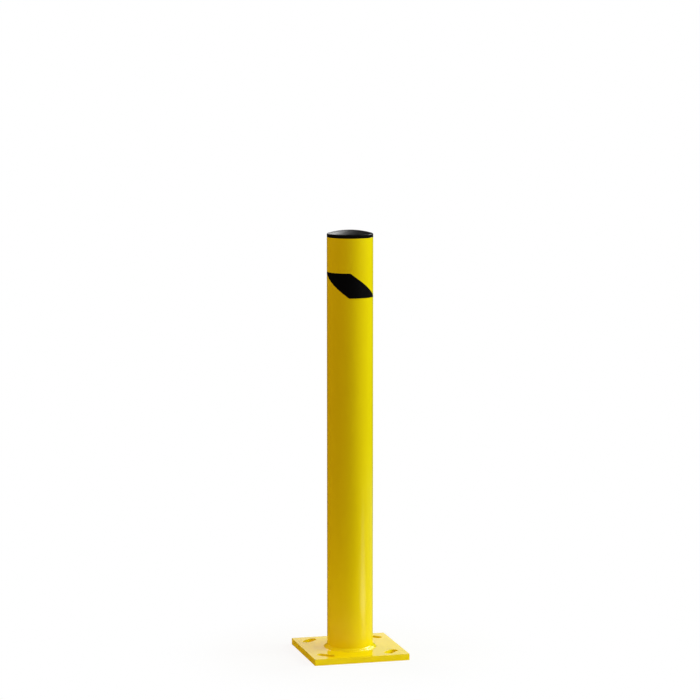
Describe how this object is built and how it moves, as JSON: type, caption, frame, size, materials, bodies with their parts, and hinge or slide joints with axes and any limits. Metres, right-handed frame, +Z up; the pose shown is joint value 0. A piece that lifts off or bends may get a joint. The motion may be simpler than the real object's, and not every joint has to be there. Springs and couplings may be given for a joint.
{
  "type": "steel bollard",
  "caption": "Surface-mounted steel pipe bollard with a slotted square base plate, a domed push-in end cap and a slanted black warning stripe near the top.",
  "frame": {"origin": "centre of the base plate's underside", "axes": "+Z up the post; +X and +Y along the base plate's sides; the front is towards -Y"},
  "size_m": [0.2414, 0.2414, 1.0609],
  "materials": {
    "yellow_powder_coat": "gloss powder coat on steel",
    "black_cap": "moulded polyethylene with a soft sheen",
    "black_vinyl": "smooth self-adhesive vinyl"
  },
  "bodies": {
    "root": {"base_plate": "yellow_powder_coat", "post_pipe": "yellow_powder_coat", "weld_bead": "yellow_powder_coat", "end_cap": "black_cap", "warning_stripe": "black_vinyl"}
  },
  "joints": []
}
